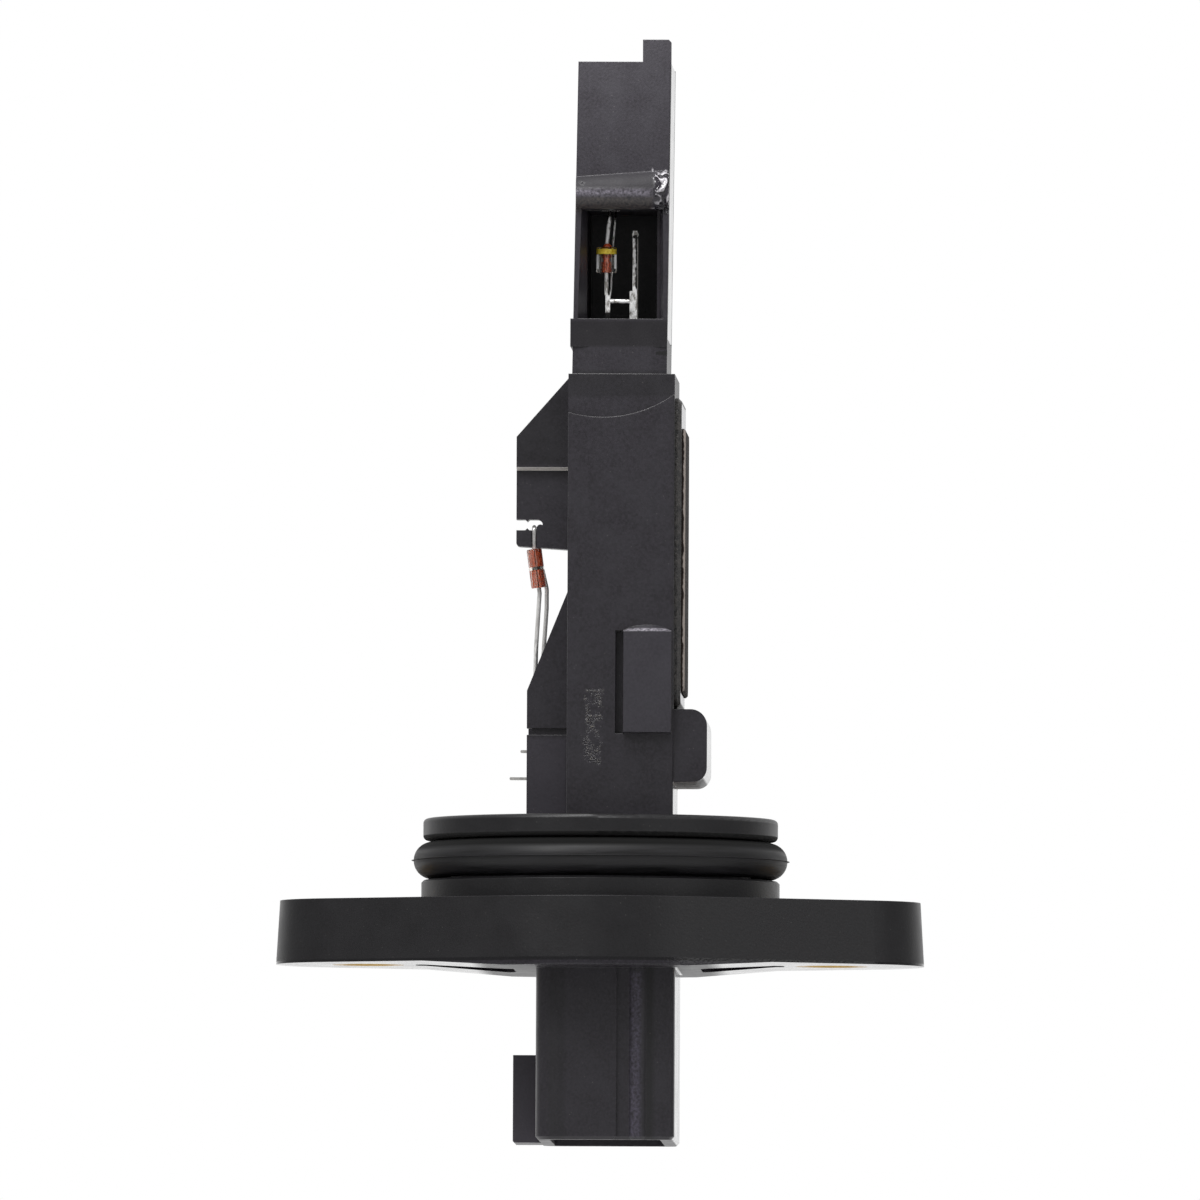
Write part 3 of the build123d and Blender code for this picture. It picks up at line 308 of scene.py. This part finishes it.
def nitrile_rubber():
    """Moulded nitrile rubber, oiled: deep black, with streaks that run round the ring."""
    streak_length_mm = 6.0
    streak_height_mm = 0.4
    material, tree, here = new_material("nitrile_rubber")
    parts = add(tree, "ShaderNodeSeparateXYZ", {"Vector": here}, "X").node.outputs
    angle = add(tree, "ShaderNodeMath", {"operation": "ARCTAN2", 0: parts["X"], 1: parts["Y"]})
    along = add(tree, "ShaderNodeMath",
                {"operation": "MULTIPLY", 0: angle, 1: SEAL_OUTSIDE_MM / streak_length_mm})
    across = add(tree, "ShaderNodeMath",
                 {"operation": "MULTIPLY", 0: parts["Z"], 1: grains(streak_height_mm)})
    round_ring = add(tree, "ShaderNodeCombineXYZ", {"X": along, "Y": across})
    streaks = add(tree, "ShaderNodeTexNoise",
                  {"Vector": round_ring, "Scale": 1.0, "Detail": 4.0, "Roughness": 0.6})
    skin = add(tree, "ShaderNodeTexNoise",
               {"Vector": here, "Scale": grains(0.3), "Detail": 3.0, "Roughness": 0.6})
    shade = add(tree, "ShaderNodeMapRange", {"Value": streaks, **CRISP})
    body = add(tree, "ShaderNodeMix",
               {"data_type": "RGBA", SHARE: shade, COLOUR_1: linear("#060607"), COLOUR_2: linear("#1b1a1d")},
               MIXED_COLOUR)
    rough = add(tree, "ShaderNodeMapRange", {"Value": streaks, **SOFT, "To Min": 0.42, "To Max": 0.58})
    # the upper shoulder, in the shade of the disc: black and dull
    shoulder = add(tree, "ShaderNodeMapRange",
                   {"Value": parts["Z"], "From Min": 4.75 * MM, "From Max": 5.15 * MM})
    body = add(tree, "ShaderNodeMix",
               {"data_type": "RGBA", SHARE: shoulder, COLOUR_1: body, COLOUR_2: linear("#010101")},
               MIXED_COLOUR)
    rough = add(tree, "ShaderNodeMix",
                {"data_type": "FLOAT", SHARE: shoulder, NUMBER_1: rough, NUMBER_2: 1.0})
    normal = add(tree, "ShaderNodeBump", {"Height": streaks, "Distance": 0.05 * MM, "Strength": 0.5})
    normal = add(tree, "ShaderNodeBump",
                 {"Height": skin, "Distance": 0.01 * MM, "Strength": 0.5, "Normal": normal})
    add_output(tree, add(tree, "ShaderNodeBsdfPrincipled",
                         {"Base Color": body, "Roughness": rough, "Normal": normal, "IOR": 1.52,
                          "Specular IOR Level": 0.4}))
    return material


def silicone_sealant():
    """Grey-black silicone squeezed out of a groove: rough, lumpy and half glossy."""
    material, tree, here = new_material("silicone_sealant")
    lumps = add(tree, "ShaderNodeTexNoise",
                {"Vector": here, "Scale": grains(0.55), "Detail": 4.0, "Roughness": 0.65})
    shade = add(tree, "ShaderNodeMapRange", {"Value": lumps, "From Min": 0.35, "From Max": 0.7})
    body = add(tree, "ShaderNodeMix",
               {"data_type": "RGBA", SHARE: shade, COLOUR_1: linear("#252526"), COLOUR_2: linear("#4a4745")},
               MIXED_COLOUR)
    rough = add(tree, "ShaderNodeMapRange", {"Value": lumps, **SOFT, "To Min": 0.25, "To Max": 0.5})
    normal = add(tree, "ShaderNodeBump", {"Height": lumps, "Distance": 0.35 * MM, "Strength": 0.9})
    add_output(tree, add(tree, "ShaderNodeBsdfPrincipled",
                         {"Base Color": body, "Roughness": rough, "Normal": normal, "IOR": 1.41}))
    return material


def worked_metal(name, light, dark, roughness, grain_mm, stretch, depth_mm=0.004, bright=1.0):
    """A metal of two near shades, in grains of grain_mm, longer along the axes where stretch is small. Where it
    isn't fully bright, the rest is its own dull oxide."""
    material, tree, here = new_material(name)
    drawn = add(tree, "ShaderNodeMapping", {"Vector": here, "Scale": stretch})
    grain = add(tree, "ShaderNodeTexNoise",
                {"Vector": drawn, "Scale": grains(grain_mm), "Detail": 3.0, "Roughness": 0.6})
    shade = add(tree, "ShaderNodeMapRange", {"Value": grain, **SOFT})
    body = add(tree, "ShaderNodeMix",
               {"data_type": "RGBA", SHARE: shade, COLOUR_1: linear(dark), COLOUR_2: linear(light)},
               MIXED_COLOUR)
    rough = add(tree, "ShaderNodeMapRange",
                {"Value": grain, **SOFT, "To Min": roughness * 1.3, "To Max": roughness * 0.7})
    normal = add(tree, "ShaderNodeBump", {"Height": grain, "Distance": depth_mm * MM, "Strength": 0.5})
    add_output(tree, add(tree, "ShaderNodeBsdfPrincipled",
                         {"Base Color": body, "Roughness": rough, "Normal": normal, "Metallic": bright}))
    return material


def dry_solid(name, light, dark, roughness, grain_mm, depth_mm):
    """A fired or moulded solid of two near shades, in grains of grain_mm, its edges a little paler as painted
    highlight and wear.
    """
    material, tree, here = new_material(name)
    rounded = add(tree, "ShaderNodeBevel", {"Radius": 0.06 * MM, "samples": 4})
    grain = add(tree, "ShaderNodeTexNoise",
                {"Vector": here, "Scale": grains(grain_mm), "Detail": 4.0, "Roughness": 0.6})
    shade = add(tree, "ShaderNodeMapRange", {"Value": grain, **SOFT})
    body = add(tree, "ShaderNodeMix",
               {"data_type": "RGBA", SHARE: shade, COLOUR_1: linear(dark), COLOUR_2: linear(light)},
               MIXED_COLOUR)
    edge = edge_wear_and_highlight(tree, rounded, 0.4)
    body = add(tree, "ShaderNodeMix",
               {"data_type": "RGBA", SHARE: edge, COLOUR_1: body, COLOUR_2: linear(light)}, MIXED_COLOUR)
    rough = add(tree, "ShaderNodeMapRange",
                {"Value": grain, **SOFT, "To Min": roughness * 0.9, "To Max": roughness * 1.1})
    normal = add(tree, "ShaderNodeBump",
                 {"Height": grain, "Distance": depth_mm * MM, "Strength": 0.5, "Normal": rounded})
    add_output(tree, add(tree, "ShaderNodeBsdfPrincipled",
                         {"Base Color": body, "Roughness": rough, "Normal": normal, "IOR": 1.5}))
    return material


def soda_glass(name):
    """A material for drawn soda glass, and its shader's settings: clear and smooth, with faint draw lines and
    a warm tint."""
    material, tree, here = new_material(name)
    drawn = add(tree, "ShaderNodeMapping", {"Vector": here, "Scale": (1.0, 1.0, 0.2)})
    lines = add(tree, "ShaderNodeTexNoise",
                {"Vector": drawn, "Scale": grains(0.4), "Detail": 2.0, "Roughness": 0.5})
    rough = add(tree, "ShaderNodeMapRange", {"Value": lines, **SOFT, "To Max": 0.05})
    normal = add(tree, "ShaderNodeBump", {"Height": lines, "Distance": 0.01 * MM, "Strength": 0.2})
    settings = {"Roughness": rough, "Normal": normal, "Base Color": linear("#fdf9f2"), "IOR": 1.5,
                "Transmission Weight": 1.0}
    return material, tree, here, settings


def thermistor_glass():
    """The thermistor's glass, clear all over."""
    material, tree, here, settings = soda_glass("soda_glass")
    add_output(tree, add(tree, "ShaderNodeBsdfPrincipled", settings))
    return material


def banded_glass():
    """The measuring element's glass: clear, with a painted white reflection at its sides, and a yellow enamel
    band near its top.
    """
    material, tree, here, settings = soda_glass("banded_glass")
    clear = add(tree, "ShaderNodeBsdfPrincipled", settings)
    flow = add(tree, "ShaderNodeTexNoise",
               {"Vector": here, "Scale": grains(0.35), "Detail": 3.0, "Roughness": 0.6})
    # painted reflection: white at the glass's sides, where it turns edge-on
    turned = add(tree, "ShaderNodeLayerWeight", {"Blend": 0.5}, "Facing")
    turned = add(tree, "ShaderNodeMapRange", {"Value": turned, "From Min": 0.30, "From Max": 0.45})
    wall = patch(tree, here, (-2.0, -7.0, 61.2), (3.0, -3.0, 62.75), 0.15)
    wall = add(tree, "ShaderNodeMath", {"operation": "MULTIPLY", 0: turned, 1: wall})
    painted_side_reflection = add(tree, "ShaderNodeBsdfPrincipled", {"Base Color": linear("#ffffff"), "Roughness": 0.12})
    clear = add(tree, "ShaderNodeMixShader", {SHARE: wall, 1: clear, 2: painted_side_reflection})
    band = patch(tree, here, (-2.0, -7.0, 62.68), (2.0, -3.0, 63.24), 0.05, flow)
    shade = add(tree, "ShaderNodeMapRange", {"Value": flow, **SOFT})
    enamel = add(tree, "ShaderNodeMix",
                 {"data_type": "RGBA", SHARE: shade,
                  COLOUR_1: linear("#a88718"), COLOUR_2: linear("#dcc84a")}, MIXED_COLOUR)
    normal = add(tree, "ShaderNodeBump", {"Height": flow, "Distance": 0.03 * MM, "Strength": 0.5})
    paint = add(tree, "ShaderNodeBsdfPrincipled",
                {"Base Color": enamel, "Roughness": 0.2, "Normal": normal, "IOR": 1.52})
    add_output(tree, add(tree, "ShaderNodeMixShader", {SHARE: band, 1: clear, 2: paint}))
    return material


def solder_dipped_bronze():
    """Bronze strip and wire dipped in solder: lumpy and mirror bright, with painted shade in its gaps and at
    its ends.
    """
    material, tree, here = new_material("solder_dipped_bronze")
    drawn = add(tree, "ShaderNodeMapping", {"Vector": here, "Scale": (1.0, 1.0, 0.5)})
    lumps = add(tree, "ShaderNodeTexNoise",
                {"Vector": drawn, "Scale": grains(0.38), "Detail": 3.0, "Roughness": 0.65})
    shade = add(tree, "ShaderNodeMapRange", {"Value": lumps, "From Min": 0.38, "From Max": 0.55})
    body = add(tree, "ShaderNodeMix",
               {"data_type": "RGBA", SHARE: shade, COLOUR_1: linear("#96938e"), COLOUR_2: linear("#ffffff")},
               MIXED_COLOUR)
    # painted shade in the gaps and the groove of the tall post, where wire lies on strip
    seam = patch(tree, here, (3.18, -6.0, 59.3), (3.40, -3.0, 64.4), 0.05, lumps)
    neck = patch(tree, here, (2.9, -6.0, 64.28), (4.0, -3.0, 64.62), 0.06, lumps)
    # painted shadow on the wire ends, under the window's roof and at the short post's foot
    roof = patch(tree, here, (-0.5, -6.0, 65.75), (2.4, -3.0, 69.0), 0.35, lumps)
    foot = patch(tree, here, (-0.5, -6.0, 54.0), (1.6, -3.0, 57.15), 0.15)
    painted_shade = seam
    for place in (neck, roof, foot):
        painted_shade = add(tree, "ShaderNodeMath", {"operation": "MAXIMUM", 0: painted_shade, 1: place})
    body = add(tree, "ShaderNodeMix",
               {"data_type": "RGBA", SHARE: painted_shade, COLOUR_1: body, COLOUR_2: linear("#141312")}, MIXED_COLOUR)
    normal = add(tree, "ShaderNodeBump", {"Height": lumps, "Distance": 0.16 * MM, "Strength": 0.7})
    add_output(tree, add(tree, "ShaderNodeBsdfPrincipled",
                         {"Base Color": body, "Roughness": 0.16, "Normal": normal, "Metallic": 0.3}))
    return material


def copper_clad_stud():
    """Copper-clad wire end, oxidised orange red under its glass, with a glossy borate skin."""
    material, tree, here = new_material("copper_clad_stud")
    oxide = add(tree, "ShaderNodeTexNoise",
                {"Vector": here, "Scale": grains(0.22), "Detail": 3.0, "Roughness": 0.6})
    shade = add(tree, "ShaderNodeMapRange", {"Value": oxide, **SOFT})
    body = add(tree, "ShaderNodeMix",
               {"data_type": "RGBA", SHARE: shade, COLOUR_1: linear("#b8380f"), COLOUR_2: linear("#ee7038")},
               MIXED_COLOUR)
    rough = add(tree, "ShaderNodeMapRange", {"Value": oxide, **SOFT, "To Min": 0.22, "To Max": 0.38})
    normal = add(tree, "ShaderNodeBump", {"Height": oxide, "Distance": 0.012 * MM, "Strength": 0.5})
    add_output(tree, add(tree, "ShaderNodeBsdfPrincipled",
                         {"Base Color": body, "Roughness": rough, "Normal": normal, "Metallic": 0.15,
                          "Coat Weight": 1.0, "Coat Roughness": 0.06}))
    return material


finishes = {
    "moulded_plastic": glass_filled_polyester(),
    "cover_plastic": cover_polyester(),
    "seal_rubber": nitrile_rubber(),
    "sealant": silicone_sealant(),
    # turned brass: warm yellow with fine rings round the hole
    "bush_metal": worked_metal("turned_brass", "#c9a96a", "#a98a4c", roughness=0.32, grain_mm=0.3,
                               stretch=(1.0, 1.0, 6.0)),
    # rolled aluminium: pale grey, drawn along the plate
    "plate_metal": worked_metal("rolled_aluminium", "#d8d8da", "#b4b4b6", roughness=0.30, grain_mm=0.4,
                                stretch=(1.0, 4.0, 0.4)),
    # tin over bronze: soft silver, slightly uneven
    "terminal_metal": worked_metal("tinned_bronze", "#f0eeea", "#c2c0bd", roughness=0.22, grain_mm=0.3,
                                   stretch=(1.0, 1.0, 1.0), depth_mm=0.02, bright=0.6),
    # tinned wire: bright silver, drawn along its length
    "lead_metal": worked_metal("tinned_wire", "#f4f3f1", "#cccac8", roughness=0.15, grain_mm=0.25,
                               stretch=(1.0, 1.0, 0.3), depth_mm=0.02, bright=0.5),
    # drawn aluminium wire: even pale grey
    "bond_metal": worked_metal("aluminium_wire", "#d4d4d6", "#b9b9bb", roughness=0.25, grain_mm=0.2,
                               stretch=(1.0, 1.0, 1.0)),
    # fired alumina: chalky white with fine grain
    "board_ceramic": dry_solid("fired_alumina", "#e6e3da", "#d8d4c9", roughness=0.6, grain_mm=0.2,
                               depth_mm=0.005),
    # moulded epoxy: dull black
    "chip_plastic": dry_solid("moulded_epoxy", "#2c2c2d", "#1f1f20", roughness=0.55, grain_mm=0.12,
                              depth_mm=0.008),
    # barium titanate: dull tan
    "capacitor_ceramic": dry_solid("barium_titanate", "#a98e6d", "#8d7252", roughness=0.55, grain_mm=0.15,
                                   depth_mm=0.006),
    "clear_glass": thermistor_glass(),
    "stud_metal": copper_clad_stud(),
    # fired oxide: dark grey
    "sensor_chip": dry_solid("fired_oxide", "#4b4a4a", "#363535", roughness=0.6, grain_mm=0.08,
                             depth_mm=0.004),
}
solder = solder_dipped_bronze()

# pieces whose finish isn't that of their slot
own_finishes = {
    "element_glass": banded_glass(),
    # the chip is fused into the studs, under the same red oxide
    "element_chip": finishes["stud_metal"],
    "element_post_tall": solder,
    "element_post_short": solder,
    "element_lead_upper": solder,
    "element_lead_lower": solder,
    "element_link": solder,
    "cover_sheet": phenolic_paper(),
}

slot_of_node = {s["node"]: s["material_slot"] for s in frame["record"]["subparts"]}
for name, node in frame["nodes"].items():
    for slot in node.material_slots:
        slot.material = own_finishes.get(name, finishes[slot_of_node[name]])


def new_mesh(name, shape, finish):
    """A mesh made of a built shape, in its finish. The shape is used up."""
    mesh = bpy.data.meshes.new(name)
    shape.to_mesh(mesh)
    shape.free()
    mesh.materials.append(finish)
    return mesh


def new_object(name, data):
    """An object of the scene made of a mesh, camera or light."""
    made = bpy.data.objects.new(name, data)
    bpy.context.scene.collection.objects.link(made)
    return made


def add_piece(name, shape, finish):
    """A smooth piece that rides on the sensor's only body."""
    bmesh.ops.recalc_face_normals(shape, faces=shape.faces)
    mesh = new_mesh(name, shape, finish)
    mesh.shade_smooth()
    piece = new_object(name, mesh)
    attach(piece, "root")


def spun_piece(name, profile_mm, centre_mm, steps, finish):
    """A ring or bead: a closed outline of radius and height turned round an upright axis."""
    shape = bmesh.new()
    corners = [shape.verts.new(((centre_mm[0] + r) * MM, centre_mm[1] * MM, (centre_mm[2] + h) * MM))
               for r, h in profile_mm]
    edges = [shape.edges.new(pair) for pair in zip(corners, corners[1:] + corners[:1])]
    bmesh.ops.spin(shape, geom=corners + edges, cent=[v * MM for v in centre_mm], axis=(0, 0, 1),
                   angle=math.tau, steps=steps, use_merge=True)
    bmesh.ops.remove_doubles(shape, verts=shape.verts, dist=0.001 * MM)
    bmesh.ops.dissolve_degenerate(shape, dist=0.0005 * MM, edges=shape.edges)
    add_piece(name, shape, finish)


def thin_wire(name, points_mm, radius_mm, finish):
    """A wire with flat ends that runs through the points, all of it nearly upright."""
    sides = 12
    shape = bmesh.new()
    start = Matrix.Translation(Vector(points_mm[0]) * MM)
    ring = bmesh.ops.create_circle(shape, segments=sides, radius=radius_mm * MM, matrix=start)["verts"]
    edges = list({edge for corner in ring for edge in corner.link_edges})
    for here, there in zip(points_mm, points_mm[1:]):
        grown = bmesh.ops.extrude_edge_only(shape, edges=edges)["geom"]
        ring = [part for part in grown if isinstance(part, bmesh.types.BMVert)]
        edges = [part for part in grown if isinstance(part, bmesh.types.BMEdge)
                 and all(corner in ring for corner in part.verts)]
        bmesh.ops.translate(shape, verts=ring, vec=(Vector(there) - Vector(here)) * MM)
    bmesh.ops.holes_fill(shape, edges=shape.edges, sides=sides)
    add_piece(name, shape, finish)


# flash left round the seal where its mould parted: a thin fin, 0.2 mm proud of the ring
spun_piece("seal_flash",
           [(SEAL_OUTSIDE_MM - 0.06, -0.07), (SEAL_OUTSIDE_MM + 0.22, 0.0), (SEAL_OUTSIDE_MM - 0.06, 0.07)],
           centre_mm=(0.0, 0.0, SEAL_MIDDLE_MM), steps=240,
           finish=finishes["seal_rubber"])

# bead of red oxide glass where the element's upper lead comes out
spun_piece("element_bead",
           [(0.0, -0.06), (0.44, -0.06), (0.46, 0.02), (0.40, 0.16), (0.28, 0.30), (0.19, 0.36), (0.0, 0.38)],
           centre_mm=(0.50, -5.0, 63.4), steps=32, finish=finishes["stud_metal"])

# fine wire behind the glass, from the passage roof down to the short post
thin_wire("element_back_wire",
          [(1.28, -3.7, 67.0), (1.20, -3.7, 65.9), (1.02, -3.7, 63.9), (0.92, -3.72, 61.5),
           (0.86, -3.85, 59.6), (0.74, -4.55, 58.5)],
          radius_mm=0.10, finish=solder)

# The photograph was taken with a long lens from slightly to the right and slightly below. Angles are radians.
VIEW_YAW = 0.0244
VIEW_PITCH = 0.041
VIEW_ROLL = 0.0048
CAMERA_DISTANCE = 4.5
SENSOR_WIDTH_MM = 36.0
PIXELS_PER_MM = 10.3
PHOTO_PIXELS = 1200
ORIGIN_PIXEL = (601.8, 902)


def make_camera():
    """The camera at the photograph's angle, framed as the photograph is."""
    field = PHOTO_PIXELS / PIXELS_PER_MM * MM
    data = bpy.data.cameras.new("camera")
    data.sensor_width = SENSOR_WIDTH_MM
    data.lens = SENSOR_WIDTH_MM * CAMERA_DISTANCE / field
    data.clip_start, data.clip_end = 0.1, 100
    data.dof.use_dof = False
    camera = new_object("camera", data)
    back = Vector((math.sin(VIEW_YAW) * math.cos(VIEW_PITCH), -math.cos(VIEW_YAW) * math.cos(VIEW_PITCH),
                   -math.sin(VIEW_PITCH)))
    turn = (-back).to_track_quat("-Z", "Y")
    right, up = turn @ Vector((1, 0, 0)), turn @ Vector((0, 1, 0))
    middle = PHOTO_PIXELS / 2
    aim = (right * (middle - ORIGIN_PIXEL[0]) + up * (ORIGIN_PIXEL[1] - middle)) / PIXELS_PER_MM * MM
    camera.rotation_mode = "QUATERNION"
    camera.rotation_quaternion = Quaternion(back, VIEW_ROLL) @ turn
    camera.location = aim + back * CAMERA_DISTANCE
    bpy.context.scene.camera = camera


make_camera()


def new_lamp(name, kind, strength, towards):
    """A lamp that shines towards a direction."""
    data = bpy.data.lights.new(name, kind)
    data.energy = strength
    lamp = new_object(name, data)
    lamp.rotation_mode = "QUATERNION"
    lamp.rotation_quaternion = Vector(towards).to_track_quat("-Z", "Y")
    return lamp


def soft_sun(name, strength, angle_deg, towards):
    """A far soft box, whose light is the same all over the object."""
    lamp = new_lamp(name, "SUN", strength, towards)
    lamp.data.angle = math.radians(angle_deg)


def soft_box(name, power, size, place, aim):
    """A near square light, which fades along the object."""
    lamp = new_lamp(name, "AREA", power, Vector(aim) - Vector(place))
    lamp.data.size = size
    lamp.location = place
    lamp.visible_camera = False


soft_sun("key_box", strength=1.3, angle_deg=30, towards=(0.5, 0.8, -0.9))
soft_sun("fill_box", strength=0.2, angle_deg=30, towards=(-0.8, 0.6, -0.4))
soft_box("tip_box", power=0.05, size=0.03, place=(-0.008, -0.037, 0.110), aim=(0.002, -0.005, 0.075))

# how bright the room looks to glossy faces, at its floor and its ceiling, and how much it lights dull ones
ROOM_FLOOR = 0.16
ROOM_CEILING = 0.62
ROOM_LIGHT = 0.62


def make_world():
    """White behind the object; a dimmer room on the camera's side, lighter towards its ceiling."""
    world = bpy.data.worlds.new("studio")
    bpy.context.scene.world = world
    world.use_nodes = True
    tree = world.node_tree
    tree.nodes.clear()
    path = add(tree, "ShaderNodeLightPath", {}).node.outputs
    direction = add(tree, "ShaderNodeTexCoord", {}, "Generated")
    parts = add(tree, "ShaderNodeSeparateXYZ", {"Vector": direction}, "X").node.outputs
    behind = add(tree, "ShaderNodeMapRange", {"Value": parts["Y"], "From Min": 0.5, "From Max": 0.95})
    height = add(tree, "ShaderNodeMapRange", {"Value": parts["Z"], "From Min": -0.1, "From Max": 0.6,
                                              "To Min": ROOM_FLOOR, "To Max": ROOM_CEILING})
    room = add(tree, "ShaderNodeMix", {"data_type": "FLOAT", SHARE: behind, NUMBER_1: height, NUMBER_2: 1.0})
    mirrored = add(tree, "ShaderNodeMath", {"operation": "MULTIPLY", 0: path["Is Glossy Ray"], 1: room})
    seen = add(tree, "ShaderNodeMath",
               {"operation": "MAXIMUM", 0: path["Is Camera Ray"], 1: path["Is Transmission Ray"]})
    strength = add(tree, "ShaderNodeMath", {"operation": "MAXIMUM", 0: seen, 1: mirrored})
    dull = add(tree, "ShaderNodeMath", {"operation": "MULTIPLY", 0: path["Is Diffuse Ray"], 1: ROOM_LIGHT})
    strength = add(tree, "ShaderNodeMath", {"operation": "MAXIMUM", 0: strength, 1: dull})
    background = add(tree, "ShaderNodeBackground", {"Color": (1, 1, 1, 1), "Strength": strength})
    output = tree.nodes.new("ShaderNodeOutputWorld")
    tree.links.new(background, output.inputs["Surface"])


make_world()

FLOOR_HEIGHT = -0.21
FLOOR_RADIUS = 1.4


def painted_floor():
    """Pale matt paint, faintly mottled."""
    material, tree, here = new_material("painted_floor")
    mottle = add(tree, "ShaderNodeTexNoise", {"Vector": here, "Scale": grains(40.0), "Detail": 3.0})
    pale = add(tree, "ShaderNodeMix",
               {"data_type": "RGBA", SHARE: mottle, COLOUR_1: linear("#efefef"), COLOUR_2: linear("#f4f4f4")},
               MIXED_COLOUR)
    add_output(tree, add(tree, "ShaderNodeBsdfPrincipled", {"Base Color": pale, "Roughness": 0.9}))
    return material


def make_floor():
    """A plain pale floor below the sensor."""
    shape = bmesh.new()
    bmesh.ops.create_circle(shape, cap_ends=True, segments=64, radius=FLOOR_RADIUS,
                            matrix=Matrix.Translation((0, 0, FLOOR_HEIGHT)))
    floor = new_object("floor", new_mesh("floor", shape, painted_floor()))


make_floor()

bpy.context.scene.view_settings.view_transform = "Standard"
